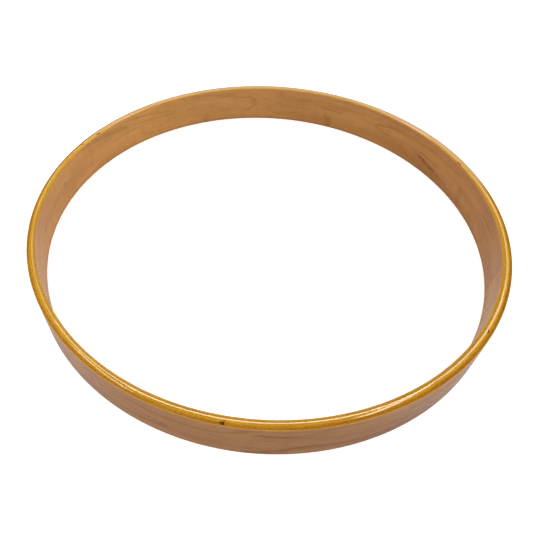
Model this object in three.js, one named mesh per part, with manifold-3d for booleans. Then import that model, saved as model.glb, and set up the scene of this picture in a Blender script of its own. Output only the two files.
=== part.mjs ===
// Bass drum hoop of bent maple, laid up from separate plies
// Frame: the origin is on the hoop's axis at its flat bottom edge, with +Z up the axis.
// +X is the hoop's right and +Y its far side. Lengths are in millimetres.
// Angles are in degrees round +Z, counted from +X towards +Y.

import * as THREE from 'three';
import { mergeVertices } from 'three/addons/utils/BufferGeometryUtils.js';
import Module from 'manifold-3d';

const wasm = await Module();
wasm.setup();

// Overall sizes of a hoop for a 20 inch drum
const outer_diameter = 533.4;
const wall = 9.5;
const depth = 50.8;

// Lay-up across the wall: a thin face ply each side, a film of glue between neighbours,
// and core plies that share the rest of the wall
const face_ply = 0.9;
const glue_line = 0.1;

// Moulded top edge: a low crown across every ply, run into the faces by a rounded corner
const crown_rise = 0.7;
const corner_radius = 1.25;

// Bottom edge: flat, with both corners eased
const foot_chamfer = 0.5;

// Butt joints: a strip's end stops this far short of what it meets, which is the next
// strip's end or, in a joint that opened when the hoop was pressed, a sliver of filler
const joint_gap = 0.3;
const core_filler_width = 2.6;
const face_filler_width = 1.2;

// Facets round the hoop and round one moulded corner, and the least facet worth making
const facets_round = 120;
const facets_per_corner = 4;
const least_facet_share = 0.02;

// Outlines that cut the strips to length run this far past the hoop, turning in these steps
const cut_overrun = 20;
const cut_step_degrees = 15;

// Values that follow from the sizes above
const outer_radius = outer_diameter / 2;
const half_wall = wall / 2;
const inner_radius = outer_radius - wall;
const middle_radius = outer_radius - half_wall;
const crown_radius = (half_wall ** 2 + crown_rise ** 2) / (2 * crown_rise);
const crown_centre = depth - crown_radius;
const corner_centre_out = half_wall - corner_radius;
const corner_centre_up =
  crown_centre + Math.sqrt((crown_radius - corner_radius) ** 2 - corner_centre_out ** 2);
const corner_sweep = Math.PI / 2 - Math.asin(corner_centre_out / (crown_radius - corner_radius));

const maple_face = new THREE.MeshStandardMaterial({ color: 0xb0804f, roughness: 0.45, metalness: 0 });
const maple_core = new THREE.MeshStandardMaterial({ color: 0xc98f2c, roughness: 0.25, metalness: 0 });
const joint_putty = new THREE.MeshStandardMaterial({ color: 0x4a3016, roughness: 0.5, metalness: 0 });

// The lay-up from the inside out. A core layer's two plies are bonded flat before they are
// bent, so they end together. In a layer with two joints, the first strip runs from the
// first joint round to the second. A joint with a filler stands open by the filler's width.
const layers = [
  { name: 'inner_face', plies: 1, material: maple_face, strips: [''], joints: [{ angle: 336.9 }] },
  {
    name: 'inner_core',
    plies: 2,
    material: maple_core,
    strips: ['_back', '_front'],
    joints: [{ angle: 14.2 }, { angle: 143.9 }],
  },
  {
    name: 'middle_core',
    plies: 2,
    material: maple_core,
    strips: ['_left', '_right'],
    joints: [{ angle: 150.4 }, { angle: 316.9 }],
  },
  {
    name: 'outer_core',
    plies: 2,
    material: maple_core,
    strips: [''],
    joints: [{ angle: 257.5, filler: core_filler_width }],
  },
  {
    name: 'outer_face',
    plies: 1,
    material: maple_face,
    strips: [''],
    joints: [{ angle: 323.7, filler: face_filler_width }],
  },
];
const plies = layers.reduce((sum, layer) => sum + layer.plies, 0);
const face_plies = 2;
const core_ply = (wall - face_plies * face_ply - (plies - 1) * glue_line) / (plies - face_plies);

// Distance of a radius from the middle of the wall, whichever side it is on
function offCentre(radius) {
  return Math.abs(radius - middle_radius);
}

// Height of the moulded top edge at a radius: crown in the middle, corner arc near a face
function topHeight(radius) {
  const across = offCentre(radius);
  const angle = Math.acos(THREE.MathUtils.clamp((across - corner_centre_out) / corner_radius, -1, 1));
  if (angle < corner_sweep) {
    return corner_centre_up + corner_radius * Math.sin(angle);
  }
  return crown_centre + Math.sqrt(crown_radius ** 2 - across ** 2);
}

// Height of the bottom edge at a radius, which is zero but for the eased corners
function bottomHeight(radius) {
  return Math.max(0, offCentre(radius) - (half_wall - foot_chamfer));
}

// Radii in a ply's width at which its section turns: the chamfer's start and the corner's facets
function turningRadii(inner, outer) {
  const turns = { bottom: [], top: [] };
  for (const side of [-1, 1]) {
    turns.bottom.push(middle_radius + side * (half_wall - foot_chamfer));
    const reach = side < 0 ? outer : inner;
    const across = side * (reach - middle_radius) - corner_centre_out;
    const sweep = Math.min(corner_sweep, Math.acos(THREE.MathUtils.clamp(across / corner_radius, -1, 1)));
    for (let step = 1; step <= facets_per_corner; step += 1) {
      const out = corner_centre_out + corner_radius * Math.cos((step * sweep) / facets_per_corner);
      turns.top.push(middle_radius + side * out);
    }
  }
  const least = corner_radius * least_facet_share;
  const inside = (radius) => radius > inner + least && radius < outer - least;
  return { bottom: turns.bottom.filter(inside), top: turns.top.filter(inside) };
}

// Closed section of a ply between two radii, listed anticlockwise from its inner bottom corner
function plySection(inner, outer) {
  const turns = turningRadii(inner, outer);
  const bottom = [inner, ...turns.bottom, outer].sort((a, b) => a - b);
  const top = [inner, ...turns.top, outer].sort((a, b) => b - a);
  const points = bottom.map((radius) => new THREE.Vector2(radius, bottomHeight(radius)));
  points.push(...top.map((radius) => new THREE.Vector2(radius, topHeight(radius))));
  points.push(points[0].clone());
  return points;
}

function toSolid(geometry) {
  const bare = geometry.index ? geometry.toNonIndexed() : geometry.clone();
  bare.deleteAttribute('normal');
  bare.deleteAttribute('uv');
  const merged = mergeVertices(bare);
  return new wasm.Manifold(
    new wasm.Mesh({
      numProp: 3,
      vertProperties: new Float32Array(merged.attributes.position.array),
      triVerts: new Uint32Array(merged.index.array),
    }),
  );
}

function toGeometry(solid) {
  const mesh = solid.getMesh();
  const geometry = new THREE.BufferGeometry();
  geometry.setAttribute('position', new THREE.BufferAttribute(new Float32Array(mesh.vertProperties), 3));
  geometry.setIndex(new THREE.BufferAttribute(new Uint32Array(mesh.triVerts), 1));
  geometry.computeVertexNormals();
  return geometry;
}

// A whole turn of one section. Every turn has its facets at the same angles, so plies nest.
function fullTurn(inner, outer) {
  const turn = new THREE.LatheGeometry(plySection(inner, outer), facets_round);
  turn.rotateX(Math.PI / 2);
  return toSolid(turn);
}

// The stretch of a band round the hoop from one square end to the next, to cut a turn with.
// Each end is a plane along the hoop's axis, set off sideways from its angle.
function spanBetween(start, end) {
  const sweep = end.angle - start.angle;
  const steps = Math.max(1, Math.ceil(sweep / cut_step_degrees));
  const corner = (place, out) => {
    const angle = THREE.MathUtils.degToRad(place.angle);
    const along = new THREE.Vector2(Math.cos(angle), Math.sin(angle)).multiplyScalar(out);
    const aside = new THREE.Vector2(-Math.sin(angle), Math.cos(angle)).multiplyScalar(place.offset);
    return along.add(aside);
  };
  const places = [start];
  for (let step = 1; step < steps; step += 1) {
    places.push({ angle: start.angle + (sweep * step) / steps, offset: 0 });
  }
  places.push(end);
  const outside = places.map((place) => corner(place, outer_radius + cut_overrun));
  const inside = places.map((place) => corner(place, inner_radius - cut_overrun)).reverse();
  const slab = new THREE.ExtrudeGeometry(new THREE.Shape([...outside, ...inside]), {
    depth: depth + 2 * cut_overrun,
    bevelEnabled: false,
  });
  slab.translate(0, 0, -cut_overrun);
  return toSolid(slab);
}

function namedMesh(name, solid, material) {
  const mesh = new THREE.Mesh(toGeometry(solid), material);
  mesh.name = name;
  return mesh;
}

// Half the opening that a joint leaves between the strips' ends
function halfOpening(joint) {
  return joint.filler ? joint.filler / 2 + joint_gap : joint_gap / 2;
}

// The strips of one ply, each between two joints, or once round from its joint to itself
function plyStrips(layer, suffix, inner, outer) {
  const turn = fullTurn(inner, outer);
  return layer.strips.map((strip, index) => {
    const from = layer.joints[index];
    const to = layer.joints[(index + 1) % layer.joints.length];
    const lap = to.angle > from.angle ? 0 : 360;
    const span = spanBetween(
      { angle: from.angle, offset: halfOpening(from) },
      { angle: to.angle + lap, offset: -halfOpening(to) },
    );
    return namedMesh(`${layer.name}${strip}_ply${suffix}`, turn.intersect(span), layer.material);
  });
}

// The sliver of putty in each open joint of a layer, as wide across the wall as the layer
function jointFillers(layer, inner, outer) {
  return layer.joints
    .filter((joint) => joint.filler)
    .map((joint) => {
      const span = spanBetween(
        { angle: joint.angle, offset: -joint.filler / 2 },
        { angle: joint.angle, offset: joint.filler / 2 },
      );
      const sliver = fullTurn(inner, outer).intersect(span);
      return namedMesh(`${layer.name}_joint_filler`, sliver, joint_putty);
    });
}

// The hoop: every layer lies on the one inside it, with a glue line between neighbours
const hoop = new THREE.Group();
let next_radius = inner_radius;
for (const layer of layers) {
  const thickness = layer.material === maple_face ? face_ply : core_ply;
  const start = next_radius;
  const group = new THREE.Group();
  for (let ply = 1; ply <= layer.plies; ply += 1) {
    const suffix = layer.plies > 1 ? `_${ply}` : '';
    group.add(...plyStrips(layer, suffix, next_radius, next_radius + thickness));
    next_radius += thickness + glue_line;
  }
  for (const filler of jointFillers(layer, start, next_radius - glue_line)) {
    group.add(filler);
  }
  hoop.add(group);
}

export default hoop;
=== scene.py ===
import math

import bpy
from mathutils import Matrix, Vector


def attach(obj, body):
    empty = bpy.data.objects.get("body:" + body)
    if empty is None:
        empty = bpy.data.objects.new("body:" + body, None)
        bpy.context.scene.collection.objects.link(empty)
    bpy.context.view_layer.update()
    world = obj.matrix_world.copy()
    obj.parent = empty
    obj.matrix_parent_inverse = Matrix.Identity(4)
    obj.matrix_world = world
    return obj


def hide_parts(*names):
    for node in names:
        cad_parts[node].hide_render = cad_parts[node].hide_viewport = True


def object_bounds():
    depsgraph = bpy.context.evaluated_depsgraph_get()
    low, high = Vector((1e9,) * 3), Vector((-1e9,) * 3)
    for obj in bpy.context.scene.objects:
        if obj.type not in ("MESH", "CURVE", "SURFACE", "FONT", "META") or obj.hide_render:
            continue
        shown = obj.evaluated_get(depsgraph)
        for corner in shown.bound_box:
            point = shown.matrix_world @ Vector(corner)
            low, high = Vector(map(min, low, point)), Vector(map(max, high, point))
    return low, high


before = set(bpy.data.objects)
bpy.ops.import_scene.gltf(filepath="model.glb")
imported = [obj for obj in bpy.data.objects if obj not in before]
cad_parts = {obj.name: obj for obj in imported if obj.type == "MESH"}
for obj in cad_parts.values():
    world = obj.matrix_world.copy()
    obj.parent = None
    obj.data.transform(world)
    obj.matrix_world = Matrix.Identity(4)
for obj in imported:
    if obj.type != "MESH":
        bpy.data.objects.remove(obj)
cad_low, cad_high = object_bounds()
MM = 0.001

# Inner face ply: one long strip of sliced maple, bent to a ring and butted to itself at the right.
# It goes on the former first. When the whole wall has set, its top edge is moulded across all the
# plies at once, as a low crown run into the faces by rounded corners, and lacquered amber.
outer_radius = cad_high.x
depth = cad_high.z
wall = 9.5 * MM
face_ply = 0.9 * MM
glue_line = 0.1 * MM
core_plies = 6
core_ply = (wall - 2 * face_ply - (core_plies + 1) * glue_line) / core_plies
ply_pitch = core_ply + glue_line
inner_radius = outer_radius - wall
middle_radius = outer_radius - wall / 2
mm_per_degree = middle_radius / MM * math.tau / 360

crown_rise = 0.7 * MM
corner_radius = 1.25 * MM
foot_chamfer = 0.5 * MM
crown_radius = ((wall / 2) ** 2 + crown_rise**2) / (2 * crown_rise)
crown_centre = depth - crown_radius
corner_out = wall / 2 - corner_radius
crown_half_sweep = math.asin(corner_out / (crown_radius - corner_radius))
corner_up = crown_centre + math.cos(crown_half_sweep) * (crown_radius - corner_radius)
corner_sweep = math.pi / 2 - crown_half_sweep
corner_steps = 10
crown_steps = 64
steps_round = 720

joint_gap = 0.3 * MM
inner_face_joint = 336.9
cut_threshold = 0.001 * MM
smooth_angle = math.radians(30)


def select_only(piece):
    bpy.ops.object.select_all(action="DESELECT")
    piece.select_set(True)
    bpy.context.view_layer.objects.active = piece


def draw_line(right, up):
    """Draws on from the selected point by a straight line in the section's plane."""
    bpy.ops.mesh.extrude_region_move(TRANSFORM_OT_translate={"value": (right, 0, up)})


def draw_arc(steps, sweep, centre, up):
    """Draws on from the selected point by an arc that turns from the inner face to the outer."""
    bpy.ops.mesh.spin(steps=steps, angle=sweep, center=(centre, 0, up), axis=(0, -1, 0))


def draw_wall_section():
    """The moulded wall's whole section at the angle zero, as one flat face."""
    bpy.ops.object.select_all(action="DESELECT")
    bpy.ops.mesh.primitive_plane_add(size=foot_chamfer, location=(inner_radius, 0, foot_chamfer))
    bpy.ops.object.mode_set(mode="EDIT")
    bpy.ops.mesh.merge(type="CENTER")
    draw_line(0, corner_up - foot_chamfer)
    draw_arc(corner_steps, corner_sweep, middle_radius - corner_out, corner_up)
    draw_arc(crown_steps, 2 * crown_half_sweep, middle_radius, crown_centre)
    draw_arc(corner_steps, corner_sweep, middle_radius + corner_out, corner_up)
    draw_line(0, foot_chamfer - corner_up)
    draw_line(-foot_chamfer, -foot_chamfer)
    draw_line(2 * foot_chamfer - wall, 0)
    bpy.ops.mesh.select_all(action="SELECT")
    bpy.ops.mesh.edge_face_add()
    bpy.ops.object.mode_set(mode="OBJECT")
    drawn = bpy.context.object
    bpy.ops.object.transform_apply(location=True, rotation=True, scale=True)
    return drawn


wall_section = draw_wall_section()


def cut_section(side, **cleared):
    """Cuts the selected section off at a radius, and clears what lies beyond the cut."""
    bpy.ops.mesh.select_all(action="SELECT")
    bpy.ops.mesh.bisect(plane_co=(side, 0, 0), plane_no=(1, 0, 0), threshold=cut_threshold, **cleared)


def turn_between(begin, end):
    """The degrees from one joint on to the next. A strip that meets itself goes all the way round."""
    return (end - begin) % 360 or 360


def bend_strip(name, inner, outer, begin, end, opening=joint_gap / 2):
    """One strip: its share of the wall's section, spun round the hoop from one joint to the next.

    The joints are angles in degrees, and each end stops short of its joint by the opening. Across
    the wall the strip reaches to the middle of its glue lines, so that plies show no gap.
    """
    sweep = math.radians(turn_between(begin, end)) - 2 * opening / middle_radius
    strip = wall_section.copy()
    strip.data = wall_section.data.copy()
    strip.name = name
    bpy.context.scene.collection.objects.link(strip)
    select_only(strip)
    bpy.ops.object.mode_set(mode="EDIT")
    cut_section(inner - glue_line / 2, clear_inner=True)
    cut_section(outer + glue_line / 2, clear_outer=True)
    bpy.ops.mesh.select_all(action="SELECT")
    start = math.radians(begin) + opening / middle_radius
    bpy.ops.transform.rotate(value=-start, orient_axis="Z", center_override=(0, 0, 0))
    steps = max(2, round(steps_round * sweep / math.tau))
    bpy.ops.mesh.spin(steps=steps, angle=sweep, center=(0, 0, 0), axis=(0, 0, -1))
    bpy.ops.mesh.select_all(action="SELECT")
    bpy.ops.mesh.normals_make_consistent(inside=False)
    bpy.ops.object.mode_set(mode="OBJECT")
    bpy.ops.object.shade_smooth_by_angle(angle=smooth_angle)
    return strip


class Shade:
    """A socket among shader nodes, so that shader maths reads as a Python expression."""

    def __init__(self, tree, socket):
        self.tree = tree
        self.socket = socket

    def node(self, kind, settings, sockets, output=0):
        """Adds a node: its settings first, then its sockets' values or links."""
        made = self.tree.nodes.new(kind)
        for name, value in settings.items():
            if name == "course":
                lay_course(made.mapping, value)
            else:
                setattr(made, name, value)
        feed(made, sockets)
        return Shade(self.tree, made.outputs[output])

    def maths(self, operation, *values):
        return self.node("ShaderNodeMath", {"operation": operation}, dict(enumerate(values)))

    def __add__(self, other):
        return self.maths("ADD", self, other)

    def __radd__(self, other):
        return self.maths("ADD", other, self)

    def __sub__(self, other):
        return self.maths("SUBTRACT", self, other)

    def __rsub__(self, other):
        return self.maths("SUBTRACT", other, self)

    def __mul__(self, other):
        return self.maths("MULTIPLY", self, other)

    def __rmul__(self, other):
        return self.maths("MULTIPLY", other, self)

    def __truediv__(self, other):
        return self.maths("DIVIDE", self, other)

    def __rtruediv__(self, other):
        return self.maths("DIVIDE", other, self)

    def __pow__(self, other):
        return self.maths("POWER", self, other)

    def __rpow__(self, other):
        return self.maths("POWER", other, self)

    def __mod__(self, other):
        return self.maths("FLOORED_MODULO", self, other)

    def __rmod__(self, other):
        return self.maths("FLOORED_MODULO", other, self)

    def __abs__(self):
        return self.maths("ABSOLUTE", self)

    def least(self, other):
        return self.maths("MINIMUM", self, other)

    def most(self, other):
        return self.maths("MAXIMUM", self, other)

    def fade(self, start, end):
        """0 at start and 1 at end, with a soft step between them."""
        ends = {"Value": self, "From Min": start, "From Max": end}
        return self.node("ShaderNodeMapRange", {"interpolation_type": "SMOOTHSTEP"}, ends)

    def curve(self, course):
        """The height at this value of a smooth course through places, both from 0 to 1."""
        return self.node("ShaderNodeFloatCurve", {"course": course}, {"Value": self})

    def blend(self, first, second):
        """A colour that goes from first to second as this value goes from 0 to 1."""
        return self.node("ShaderNodeMix", {"data_type": "RGBA"}, {0: self, 6: first, 7: second}, 2)


def lay_course(mapping, course):
    """Lays a curve node's line through the places of a course."""
    line = mapping.curves[0]
    line.points[0].location = course[0]
    line.points[1].location = course[-1]
    for place in course[1:-1]:
        line.points.new(*place)
    mapping.update()


def feed(node, sockets):
    """Gives a node's sockets their plain values, or links them to what is worked out for them."""
    for key, value in sockets.items():
        if isinstance(value, Shade):
            value.tree.links.new(value.socket, node.inputs[key])
        else:
            node.inputs[key].default_value = value


def rgb(red, green, blue):
    """A colour written as it looks on a screen, in 255ths, as the shader's linear light."""
    shares = [value / 255 for value in (red, green, blue)]
    linear = [s / 12.92 if s < 0.04045 else ((s + 0.055) / 1.055) ** 2.4 for s in shares]
    return (*linear, 1.0)


def new_finish(name):
    """A new material, and the shader among its nodes."""
    finish = bpy.data.materials.new(name)
    finish.use_nodes = True
    return finish, finish.node_tree.nodes["Principled BSDF"]


def place_in_hoop(finish, joint):
    """Where a point lies in a bent strip, in mm: along it from its joint, across the wall, and up."""
    tree = finish.node_tree
    spot = Shade(tree, tree.nodes.new("ShaderNodeTexCoord").outputs["Object"])
    x, y, z = (spot.node("ShaderNodeSeparateXYZ", {}, {0: spot}, axis) for axis in range(3))
    radius = (x * x + y * y) ** 0.5
    turn = (y.maths("ARCTAN2", y, x) - math.radians(joint)) % math.tau
    return turn * (middle_radius / MM), (radius - inner_radius) / MM, z / MM


def grain(place, long, wide, tall, detail, roughness=0.5):
    """Noise from 0 to 1, whose grain is so many mm long, wide across the wall, and tall."""
    along, across, up = place
    spot = along.node("ShaderNodeCombineXYZ", {}, {0: along / long, 1: across / wide, 2: up / tall})
    sockets = {"Vector": spot, "Scale": 1.0, "Detail": detail, "Roughness": roughness}
    return spot.node("ShaderNodeTexNoise", {}, sockets)


def tone_round(along, sweep, tones):
    """The tone along a strip that sweeps so many degrees, on a smooth course through its tones."""
    here = along / (sweep * mm_per_degree)
    return here.curve([(turn / sweep, tone) for turn, tone in tones])


maple_pale = rgb(206, 149, 84)
maple_deep = rgb(152, 103, 56)
maple_dark = rgb(112, 57, 12)
maple_bare = rgb(222, 186, 134)
amber_pale = rgb(215, 166, 47)
amber_deep = rgb(150, 92, 22)
amber_thick = rgb(198, 130, 42)
glue_brown = rgb(120, 70, 10)

# Glue lines in the edge, in mm, and how much of each thing shows there
seam_pitch = ply_pitch / MM
first_seam = (face_ply + glue_line / 2) / MM
seam_core = 0.05
seam_edge = 0.2
seam_share = 0.45
tick_share = 1.2
cloud_share = 0.6


def amber_edge(place, tone):
    """The lacquered edge of the plies: fibre ends as short ticks across it, and fine glue lines."""
    across = place[1]
    ticks = grain(place, long=1.2, wide=1.1, tall=2.6, detail=3, roughness=0.6) - 0.5
    clouds = grain(place, long=30, wide=1.3, tall=8, detail=2) - 0.5
    colour = (ticks * tick_share + clouds * cloud_share + tone).blend(amber_pale, amber_deep)
    seam = abs(((across - first_seam) / seam_pitch + 0.5) % 1.0 - 0.5) * seam_pitch
    return ((1 - seam.fade(seam_core, seam_edge)) * seam_share).blend(colour, glue_brown)


# Growth lines: the share of one that each tip fades over, how far it wanders in mm, where in a
# year's growth the wood darkens, and how uneven the darkness is
tip_share = 0.05
wander_reach = 2.2
years_of_growth = 11.0
late_growth = 0.45
year_end = 0.96
year_darkness = 0.1
faintest_line = 0.4
line_unevenness = 1.2


def growth_line(run, rise, places, below, above):
    """How dark the line between two years' growth is, on a smooth course through its places.

    The line dies away over one distance below it and another above it, and at its two tips.
    """
    first, last = places[0][0], places[-1][0]
    low = min(height for _, height in places)
    high = max(height for _, height in places)
    course = [((place - first) / (last - first), (height - low) / (high - low)) for place, height in places]
    here = (run - first) / (last - first)
    off = rise - here.curve(course) * (high - low) - low
    tips = here.fade(0.0, tip_share) * (1 - here.fade(1 - tip_share, 1.0))
    return off.fade(-below, 0.0) * (1 - off.fade(0.0, above)) * tips


def wood_figure(place, joint, figure):
    """How dark the figure is: faint years all over, and the growth lines drawn for this strip.

    A drawn line says whether it is steep, how many mm it fades over below and above itself, how
    dark it is, and its places, each an angle and a height in mm. A steep line's course runs up
    the face, so it fades to its two sides, and any other line's course runs along the face.
    """
    along, _, up = place
    wander = (grain(place, long=22, wide=20, tall=9, detail=2) - 0.5) * wander_reach
    years = (grain(place, long=170, wide=50, tall=24, detail=2) * years_of_growth) % 1.0
    lines = years.fade(late_growth, year_end) * (1 - years.fade(year_end, 1.0)) * year_darkness
    for steep, below, above, darkness, drawn in figure:
        places = [((turn - joint) % 360 * mm_per_degree, height) for turn, height in drawn]
        if steep:
            places = [(height, length) for length, height in places]
            line = growth_line(up, along + wander, places, below, above)
        else:
            line = growth_line(along, up + wander * 0.5, places, below, above)
        lines = lines + line * darkness
    uneven = grain(place, long=6, wide=20, tall=6, detail=2) * line_unevenness + faintest_line
    return (lines * uneven).least(1.0)


# Heights on a face, in mm
lacquer_up = depth / MM - 1.35
foot_lacquer_up = 0.45
lacquer_border = 0.12
edge_line_up = lacquer_up + 0.3
edge_line_end = lacquer_up + 0.6
pale_band_up = depth / MM - 4.8
pale_band_end = depth / MM - 1.4
# Painted shade darkens a face from its foot up to this height
painted_shade_up = 5.5
wear_up = 0.2
wear_end = 0.9

# How much of each thing shows in a face
drift_share = 0.28
fibre_share = 0.14
pale_band_share = 0.14
shimmer_share = 0.15
painted_shade_share = 0.24
edge_line_share = 0.75
wear_share = 0.2
face_edge_tone = 0.6

# How smooth a face and its lacquer are
satin_roughness = 0.26
fibre_roughness = 0.1
smudge_roughness = 0.12
lacquer_roughness = 0.04
fibre_relief = 0.05 * MM
relief_strength = 0.12


def face_finish(name, joint, tones, figure, shine, edge_coat, edge_line):
    """Satin lacquer on flat-sawn maple, running into the amber lacquer of the moulded edge.

    The tones say how deep the wood's brown is, from 0 to 1, at angles on from the strip's joint.
    On the inner face they are partly painted light, paler at the back of the ring where more light falls.
    """
    finish, skin = new_finish(name)
    place = place_in_hoop(finish, joint)
    along, _, up = place

    drift = grain(place, long=130, wide=50, tall=20, detail=3).fade(0.3, 0.7) - 0.5
    fibre = grain(place, long=26, wide=2, tall=1.1, detail=4, roughness=0.6)
    pale_band = up.fade(pale_band_up, pale_band_end)
    brown = tone_round(along, 360, tones) + drift * drift_share
    brown = brown + (fibre - 0.5) * fibre_share - pale_band * pale_band_share
    shimmer = grain(place, long=9, wide=20, tall=24, detail=3).fade(0.42, 0.85)
    # Painted shade: the face goes darker towards its foot, where the floor shades it.
    painted_foot_shade = 1 - up.fade(0.0, painted_shade_up)
    wood = brown.blend(maple_pale, maple_deep)
    wood = (shimmer * shimmer_share + painted_foot_shade * painted_shade_share).blend(wood, maple_dark)
    wood = wood_figure(place, joint, figure).blend(wood, maple_dark)

    top_lacquer = up.fade(lacquer_up, lacquer_up + lacquer_border)
    foot_lacquer = 1 - up.fade(foot_lacquer_up, foot_lacquer_up + lacquer_border)
    lacquered = top_lacquer.most(foot_lacquer)
    line = 1 - up.fade(edge_line_up, edge_line_end)
    edge = (line * edge_line_share).blend(amber_edge(place, face_edge_tone), edge_line)
    worn = grain(place, long=14, wide=3, tall=3, detail=4).fade(0.5, 0.62)
    rubbed = (1 - up.fade(wear_up, wear_end)) * worn * wear_share

    smudges = grain(place, long=45, wide=20, tall=30, detail=3) - 0.5
    relief = {"Strength": relief_strength, "Distance": fibre_relief, "Height": fibre}
    feed(skin, {
        "Base Color": rubbed.blend(lacquered.blend(wood, edge), maple_bare),
        "Roughness": satin_roughness + (fibre - 0.5) * fibre_roughness + smudges * smudge_roughness,
        "Specular IOR Level": shine,
        "Coat Weight": lacquered * edge_coat,
        "Coat Roughness": lacquer_roughness,
        "Normal": fibre.node("ShaderNodeBump", {}, relief),
    })
    return finish


def dress(piece, finish, node):
    """Gives a piece its finish, and says which of the CAD's solids it stands in for."""
    piece.data.materials.clear()
    piece.data.materials.append(finish)
    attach(piece, "root")
    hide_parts(node)


inner_figure = (
    (False, 1.2, 1.8, 0.55, ((347.5, 34.8), (352.0, 34.2), (358.0, 32.8))),
    (True, 8.0, 8.0, 0.20, ((9.2, 2.0), (9.4, 14.0), (9.8, 28.0))),
    (False, 1.4, 4.0, 0.17, ((10.0, 37.5), (25.0, 37.5), (38.0, 36.5))),
    (False, 1.4, 4.0, 0.30, ((37.0, 37.0), (40.0, 35.5), (42.5, 33.0), (45.8, 28.2))),
    (False, 3.0, 1.2, 0.22, ((31.0, 5.0), (33.0, 12.0), (36.0, 17.5), (41.0, 23.0), (45.8, 28.0))),
    (False, 1.6, 1.8, 0.46, ((20.8, 23.0), (24.0, 24.6), (28.5, 26.6))),
    (False, 1.6, 1.6, 0.50, ((15.2, 11.2), (18.0, 12.2), (20.6, 13.4))),
    (False, 2.6, 2.8, 0.66, ((21.0, 13.8), (24.0, 15.2), (26.2, 17.6), (28.6, 19.8))),
    (False, 7.0, 5.0, 0.16, ((19.0, 12.0), (23.0, 14.0), (28.0, 20.0), (32.0, 25.0))),
    (False, 1.4, 1.8, 0.36, ((57.0, 27.2), (60.5, 29.4), (64.0, 30.6))),
    (True, 9.0, 9.0, 0.26, ((61.8, -3.0), (61.5, 8.0), (61.7, 18.0))),
    (False, 1.2, 3.0, 0.15, (
        (61.5, 17.0), (66.0, 21.6), (75.0, 23.0), (79.0, 26.8), (84.0, 35.0), (90.0, 46.0),
    )),
    (True, 6.0, 6.0, 0.14, ((77.4, 33.0), (77.8, 40.0), (78.4, 48.0))),
    (True, 6.0, 9.0, 0.22, ((91.0, 14.0), (88.2, 18.5), (86.9, 27.0), (87.8, 36.0), (91.5, 40.5))),
    (False, 1.4, 4.5, 0.18, ((88.0, 34.5), (95.0, 38.5), (102.0, 44.0), (110.0, 48.5))),
    (True, 9.0, 8.0, 0.20, ((104.4, -2.0), (104.0, 6.0), (103.4, 15.0))),
    (False, 1.2, 4.0, 0.20, ((114.4, 31.0), (118.0, 34.4), (125.0, 40.0), (134.0, 45.5))),
    (False, 2.6, 1.0, 0.25, ((114.4, 31.4), (118.0, 29.6), (123.0, 31.4), (131.0, 36.0))),
    (False, 1.4, 1.4, 0.20, ((125.0, 25.5), (130.0, 28.5), (134.0, 27.0))),
    (False, 1.4, 1.4, 0.20, ((136.0, 25.0), (139.5, 26.4), (144.0, 25.0))),
    (False, 1.2, 12.0, 0.24, (
        (132.0, 34.0), (138.0, 38.0), (143.0, 41.5), (150.0, 46.5), (156.0, 51.0),
    )),
    (False, 1.1, 1.1, 0.70, ((162.6, 29.6), (163.4, 30.2), (164.2, 31.2))),
)
# The inner face's tones are partly the wood's own and partly painted light: paler at the back of the ring,
# where more light falls.
inner_tones_and_painted_light = (
    (0, 0.95), (15, 0.85), (45, 0.83), (65, 0.73), (85, 0.58), (105, 0.41),
    (125, 0.3), (165, 0.34), (185, 0.41), (230, 0.5), (345, 0.75), (360, 0.7),
)
inner_face = bend_strip(
    "inner_face", inner_radius, inner_radius + face_ply, inner_face_joint, inner_face_joint
)
inner_face_maple = face_finish(
    "inner_face_maple",
    inner_face_joint,
    inner_tones_and_painted_light,
    inner_figure,
    shine=0.13,
    edge_coat=0.1,
    edge_line=amber_thick,
)
dress(inner_face, inner_face_maple, "inner_face_ply")


# Inner core: two plies bonded flat, cut to two lengths and bent together over the inner face. The
# lengths butt at the right and at the far left, where stain has crept into the ends of the wood.
core_start = inner_radius + face_ply + glue_line
right_joint = 14.2
far_joint = 143.9
soft_stain = rgb(120, 62, 8)
stain_share = 0.95
deeper_from = 7.2
core_roughness = 0.5
core_smudge_share = 0.2


def core_finish(name, begin, end, tones, stains, deeper=0.0):
    """Amber lacquer on the edges of core plies, darker in spots where the wood was stained.

    The tones say how deep the amber is, from 0 to 1, at angles on from where the plies begin. They
    hold at deeper_from, and the amber can get deeper by so much for each mm outwards. A stain is its
    angle, its place across the wall, its reach along and across, its border's softness and colour.
    """
    finish, skin = new_finish(name)
    place = place_in_hoop(finish, begin)
    along, across, _ = place
    tone = tone_round(along, turn_between(begin, end), tones)
    colour = amber_edge(place, tone + (across - deeper_from) * deeper)
    for turn, centre, long, wide, soft, stain in stains:
        ahead = abs(along - (turn - begin) % 360 * mm_per_degree).fade(long, long + soft)
        aside = abs(across - centre).fade(wide, wide + soft)
        colour = ((1 - ahead) * (1 - aside) * stain_share).blend(colour, stain)
    smudge = grain(place, long=25, wide=6, tall=10, detail=3).fade(0.5, 0.8)
    feed(skin, {
        "Base Color": colour,
        "Roughness": core_roughness,
        "Specular IOR Level": 0.0,
        "Coat Weight": 1 - smudge * core_smudge_share,
        "Coat Roughness": lacquer_roughness,
    })
    return finish


def bend_core_layer(name, first_ply, begin, end, finish, opening=joint_gap / 2):
    """Two core plies that were cut and bent together, counted outwards from the inner face."""
    for ply in range(2):
        inner = core_start + (first_ply + ply) * ply_pitch
        piece = bend_strip(f"{name}_{ply + 1}", inner, inner + core_ply, begin, end, opening)
        dress(piece, finish, f"{name}_ply_{ply + 1}")


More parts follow.
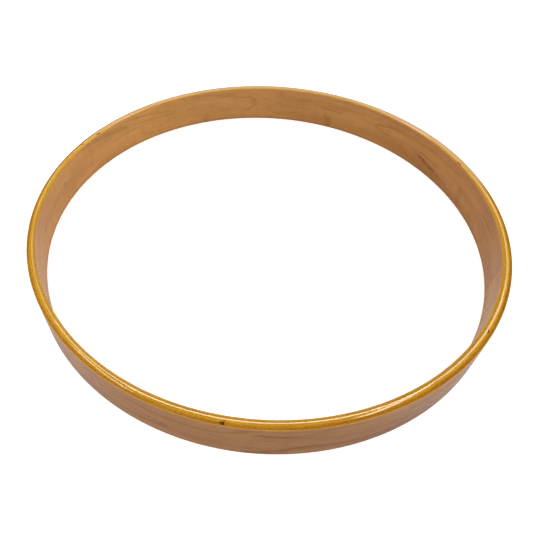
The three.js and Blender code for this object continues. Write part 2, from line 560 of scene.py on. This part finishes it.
inner_stains = (
    (right_joint, 1.5, 3.0, 0.3, 1.3, soft_stain),
    (far_joint, 2.7, 2.4, 0.4, 1.3, soft_stain),
)
inner_back_tones = ((0, 0.35), (15, 0.45), (35, 0.55), (75, 0.45), (105, 0.3), (129.7, 0.25))
inner_back_maple = core_finish("inner_back_maple", right_joint, far_joint, inner_back_tones, inner_stains)
bend_core_layer("inner_core_back", 0, right_joint, far_joint, inner_back_maple)

inner_front_tones = (
    (0, 0.2), (20, 0.2), (35, 0.4), (75, 0.45), (95, 0.55), (180, 0.6), (200, 0.5), (230.3, 0.35),
)
inner_front_maple = core_finish("inner_front_maple", far_joint, right_joint, inner_front_tones, inner_stains)
bend_core_layer("inner_core_front", 0, far_joint, right_joint, inner_front_maple)


# Middle core: two more plies in two lengths, with joints kept well away from those inside them.
# The right-hand length comes from paler wood, so the edge changes shade at its near joint.
left_joint = 150.4
near_joint = 316.9
left_stain = (left_joint, 4.8, 1.0, 0.7, 0.6, rgb(128, 74, 24))
near_stain = (near_joint - 0.42, 5.3, 1.7, 0.5, 0.4, rgb(122, 72, 18))
glue_smudge = (258.05, 4.9, 1.1, 0.4, 0.9, rgb(166, 102, 44))

left_tones = (
    (0, 0.2), (40, 0.35), (70, 0.25), (95, 0.55), (110, 0.4), (125, 0.55), (150, 0.35), (166.5, 0.35),
)
left_stains = (left_stain, near_stain, glue_smudge)
middle_left_maple = core_finish("middle_left_maple", left_joint, near_joint, left_tones, left_stains)
bend_core_layer("middle_core_left", 2, left_joint, near_joint, middle_left_maple)

right_tones = ((0, 0.3), (60, 0.3), (80, 0.4), (170, 0.4), (193.5, 0.25))
middle_right_maple = core_finish("middle_right_maple", near_joint, left_joint, right_tones, (left_stain,))
bend_core_layer("middle_core_right", 2, near_joint, left_joint, middle_right_maple)


# Outer core: two plies bent once round as one length. It came out short, so its joint stood open
# at the front when the hoop was pressed, and dark glue has stained both ends of the wood there.
outer_core_joint = 257.5
core_filler_width = 2.6 * MM
core_opening = core_filler_width / 2 + joint_gap
outer_core_deeper = 0.13
glue_black = rgb(30, 20, 8)
outer_core_stains = (
    (257.98, 7.4, 0.6, 1.15, 0.2, glue_black),
    (324.1, 8.5, 0.9, 0.6, 0.5, rgb(54, 56, 20)),
)
outer_core_tones = (
    (0, 0.75), (40, 0.85), (100, 0.85), (135, 1.0), (165, 0.95),
    (230, 0.9), (280, 0.75), (325, 0.7), (360, 0.75),
)
outer_core_maple = core_finish(
    "outer_core_maple",
    outer_core_joint,
    outer_core_joint,
    outer_core_tones,
    outer_core_stains,
    outer_core_deeper,
)
bend_core_layer("outer_core", 4, outer_core_joint, outer_core_joint, outer_core_maple, core_opening)


# Outer core's joint filler: a sliver of the same wood let into the open joint, with its sides
# black from the glue that was squeezed up round it.
filler_inner = core_start + 4 * ply_pitch
filler_outer = filler_inner + core_ply + ply_pitch
filler_half = core_filler_width / 2 / MM / mm_per_degree
filler_begin = outer_core_joint - filler_half
filler_end = outer_core_joint + filler_half
filler_stains = (
    (257.58, 7.4, 0.6, 1.15, 0.2, glue_black),
    (257.66, 6.25, 0.7, 0.3, 0.25, glue_black),
)
filler_tones = ((0, 0.8), (0.25, 0.8), (0.35, 0.25), (0.569, 0.25))
core_filler = bend_strip("outer_core_filler", filler_inner, filler_outer, filler_begin, filler_end, 0)
filler_maple = core_finish(
    "filler_maple", filler_begin, filler_end, filler_tones, filler_stains, outer_core_deeper
)
dress(core_filler, filler_maple, "outer_core_joint_filler")


# Outer face ply: the last strip on, of the same sliced maple as the inner face, with its widest
# figure at the front. Its joint also stood a little open, near the right.
outer_face_joint = 323.7
face_filler_width = 1.2 * MM
face_opening = face_filler_width / 2 + joint_gap
# A pale line at the foot of the outer face's moulded edge: partly thin lacquer, partly a painted highlight
# along the rounded corner.
thin_lacquer_and_highlight = rgb(192, 148, 106)
outer_figure = (
    (False, 1.2, 3.6, 0.42, (
        (226.0, 47.0), (229.0, 41.0), (238.0, 37.5), (246.0, 35.4),
        (253.0, 34.6), (258.0, 36.4), (261.0, 43.0), (266.0, 48.0),
    )),
    (False, 1.2, 3.0, 0.36, (
        (263.0, 41.0), (266.0, 38.0), (271.0, 34.8), (276.0, 28.4),
        (281.0, 24.0), (290.0, 21.6), (304.0, 19.0),
    )),
    (False, 1.6, 2.4, 0.34, (
        (270.5, 34.0), (274.0, 40.0), (278.5, 45.8), (285.0, 43.4),
        (291.0, 39.6), (298.0, 38.4), (310.0, 37.5),
    )),
    (False, 4.0, 4.0, 0.22, ((263.0, 37.0), (267.0, 37.5), (272.0, 36.0))),
    (False, 1.4, 3.4, 0.50, ((228.0, 30.0), (236.0, 28.2), (240.0, 25.2), (243.0, 22.0), (247.6, 18.0))),
    (False, 3.4, 1.4, 0.60, ((226.0, 14.0), (232.0, 14.4), (241.0, 14.0), (244.0, 15.4), (247.6, 18.0))),
    (False, 12.0, 0.8, 0.50, (
        (259.0, -2.0), (262.0, 4.0), (266.0, 8.0), (270.0, 13.4),
        (273.0, 17.4), (277.0, 16.2), (285.0, 12.4), (302.0, 9.0),
    )),
)
outer_tones = (
    (0, 0.8), (240, 0.85), (260, 0.95), (290, 0.85),
    (305, 0.85), (320, 0.8), (335, 0.95), (360, 0.85),
)
outer_face = bend_strip(
    "outer_face", outer_radius - face_ply, outer_radius, outer_face_joint, outer_face_joint, face_opening
)
outer_face_maple = face_finish(
    "outer_face_maple",
    outer_face_joint,
    outer_tones,
    outer_figure,
    shine=0.10,
    edge_coat=0.35,
    edge_line=thin_lacquer_and_highlight,
)
dress(outer_face, outer_face_maple, "outer_face_ply")


# Outer face's joint filler: dark putty pressed into the gap between the strip's ends, flush with
# the face and the moulded edge.
putty_half = face_filler_width / 2 / MM / mm_per_degree
putty_begin = outer_face_joint - putty_half
putty_end = outer_face_joint + putty_half
putty_shade = rgb(30, 32, 12)
putty_light = rgb(84, 74, 30)
putty_crumb = 0.3
putty_roughness = 0.35
crumb_roughness = 0.3
face_filler = bend_strip(
    "outer_face_filler", outer_radius - face_ply, outer_radius, putty_begin, putty_end, 0
)


def putty_finish(name):
    """Dark greenish putty with a fine grain and a dull sheen."""
    finish, skin = new_finish(name)
    place = place_in_hoop(finish, outer_face_joint - 1)
    crumbs = grain(place, long=putty_crumb, wide=putty_crumb, tall=putty_crumb, detail=3)
    feed(skin, {
        "Base Color": crumbs.blend(putty_shade, putty_light),
        "Roughness": putty_roughness + crumbs * crumb_roughness,
    })
    return finish


dress(face_filler, putty_finish("dark_putty"), "outer_face_joint_filler")

bpy.data.objects.remove(wall_section)


# Floor: a wide sheet of white paper under the hoop. The camera alone sees it a little brighter
# than it is lit, as white as the photograph's ground.
floor_size = 12.0
floor_glow = 0.45
paper_white = (0.85, 0.85, 0.85, 1)
paper_roughness = 0.9
white = (1, 1, 1, 1)
black = (0, 0, 0, 1)
bpy.ops.object.select_all(action="DESELECT")
bpy.ops.mesh.primitive_plane_add(size=floor_size, location=(0, 0, 0))
floor = bpy.context.object
floor.name = "floor"


def camera_sight(tree):
    """1 where the camera looks straight at a thing, and 0 where its light falls on others."""
    return Shade(tree, tree.nodes.new("ShaderNodeLightPath").outputs["Is Camera Ray"])


def paper_finish(name):
    """White paper without any gloss, which glows for the camera."""
    finish, skin = new_finish(name)
    feed(skin, {
        "Base Color": paper_white,
        "Roughness": paper_roughness,
        "Specular IOR Level": 0.0,
        "Emission Color": camera_sight(finish.node_tree).blend(black, white),
        "Emission Strength": floor_glow,
    })
    return finish


floor.data.materials.append(paper_finish("white_sheet"))


# Studio: a dim room with walls lighter than its ceiling, which keeps the amber deep. The walls
# reach higher at the back. The camera sees all of it as white, like the photograph's ground.
ceiling_light = 0.004
wall_light = 0.048
wall_top = 0.2
ceiling_edge = 0.4
back_rise = 0.25


def light_studio():
    studio = bpy.data.worlds.new("studio")
    studio.use_nodes = True
    bpy.context.scene.world = studio
    tree = studio.node_tree
    facing = Shade(tree, tree.nodes.new("ShaderNodeTexCoord").outputs["Generated"])
    back, up = (facing.node("ShaderNodeSeparateXYZ", {}, {0: facing}, axis) for axis in (1, 2))
    overhead = (up - back * back_rise).fade(wall_top, ceiling_edge)
    room = wall_light - overhead * (wall_light - ceiling_light)
    feed(tree.nodes["Background"], {"Color": white, "Strength": room.most(camera_sight(tree))})


light_studio()


# Lamps: narrow ones in a bent row at the height of a shelf, which the moulded edge mirrors as
# bright lines, and dim ones high up and at the back wall. They are seen only as reflections. The
# wood is lit by two side panels and a wide soft sun, which in turn aren't reflected.
shelf_height = 1.0
side_out = 1.6
side_up = 0.75
fill_spread = math.radians(140)
fill_strength = 3.2
plain_white = (1, 1, 1)
warm_white = (1.0, 0.98, 0.84)


def hang_lamp(name, place, turn, length, width, brightness, colour=plain_white):
    """A flat soft lamp, sized in metres, that shines down unless it is tipped, as bright as white at 1."""
    light = bpy.data.lights.new(name, "AREA")
    light.shape = "RECTANGLE"
    light.size = length
    light.size_y = width
    light.energy = brightness * math.pi * length * width
    light.color = colour
    hung = bpy.data.objects.new(name, light)
    hung.matrix_world = Matrix.Translation(place) @ turn
    hung.visible_camera = False
    hung.visible_diffuse = False
    bpy.context.scene.collection.objects.link(hung)
    return hung


def turned(degrees, axis="Z"):
    return Matrix.Rotation(math.radians(degrees), 4, axis)


for name, right, back, degrees, length, width, brightness in (
    ("main", 0.12, 0.365, 0, 0.81, 0.13, 15.0),
    ("right_near", 0.69, 0.50, 29, 0.39, 0.19, 6.8),
    ("right_far", 0.93, 0.835, 76, 0.52, 0.23, 3.2),
    ("left_near", -0.35, 0.53, -42, 0.30, 0.13, 8.8),
    ("left_middle", -0.52, 0.755, -71, 0.30, 0.13, 3.8),
    ("left_far", -0.70, 1.17, -69, 0.50, 0.16, 3.0),
    ("far_left", -0.735, 1.47, 56, 0.26, 0.17, 3.0),
    ("left_leg", -0.455, 0.235, -73, 0.34, 0.08, 8.5),
    ("right_leg", 0.42, 0.118, 67, 0.31, 0.08, 11.5),
):
    hang_lamp(name, (right, back, shelf_height), turned(degrees), length, width, brightness, warm_white)

facing_front = turned(-90, "X")
for name, place, turn, length, width, brightness in (
    ("back", (0.625, 2.0, 0.83), facing_front, 2.95, 1.25, 1.0),
    ("back_upper", (0.625, 1.98, 1.08), facing_front, 2.95, 0.75, 1.1),
    ("back_high", (0.385, 1.375, 1.2), turned(0), 1.23, 0.65, 1.9),
    ("back_right", (0.56, 1.27, 1.19), turned(0), 0.20, 0.20, 1.8),
    ("back_left", (-0.13, 1.19, 1.19), turned(0), 0.16, 0.20, 0.8),
    ("left_back", (-0.42, 1.52, 1.19), turned(0), 0.30, 0.40, 1.0),
    ("right_back", (1.15, 1.62, 1.2), turned(0), 0.30, 0.35, 1.2),
    ("right_slit", (0.56, 1.18, 1.18), turned(47), 0.56, 0.07, 3.2),
    ("left_slit", (-0.22, 1.27, 1.18), turned(117), 0.53, 0.09, 2.0),
):
    hang_lamp(name, place, turn, length, width, brightness)

for name, right, degrees in (("left_side", -side_out, -90), ("right_side", side_out, 90)):
    place = (right, 0, side_up)
    side = hang_lamp(name, place, turned(degrees, "Y"), length=1.1, width=1.6, brightness=2.0)
    side.visible_diffuse = True
    side.visible_glossy = False

fill_light = bpy.data.lights.new("fill", "SUN")
fill_light.angle = fill_spread
fill_light.energy = fill_strength
fill = bpy.data.objects.new("fill", fill_light)
fill.visible_glossy = False
bpy.context.scene.collection.objects.link(fill)


# Camera: where the photographer stood, in front of the hoop and above it, a little to the left.
# The photograph is cropped, so the middle of the lens's view lies off the middle of the picture.
camera_place = Vector((-59.4, -428.9, 445.0)) * MM
camera_elevation = math.radians(47.66)
camera_roll = math.radians(-1.90)
picture_pixels = 540
focal_pixels = 501.7
centre_right, centre_down = 212.4, 250.9
camera = bpy.data.objects.new("camera", bpy.data.cameras.new("camera"))
camera.data.lens = camera.data.sensor_width * focal_pixels / picture_pixels
camera.data.shift_x = 0.5 - centre_right / picture_pixels
camera.data.shift_y = centre_down / picture_pixels - 0.5
camera.data.clip_start = 10 * MM
camera.matrix_world = (
    Matrix.Translation(camera_place)
    @ Matrix.Rotation(math.pi / 2 - camera_elevation, 4, "X")
    @ Matrix.Rotation(camera_roll, 4, "Z")
)
bpy.context.scene.collection.objects.link(camera)
bpy.context.scene.camera = camera
bpy.context.scene.view_settings.view_transform = "Standard"
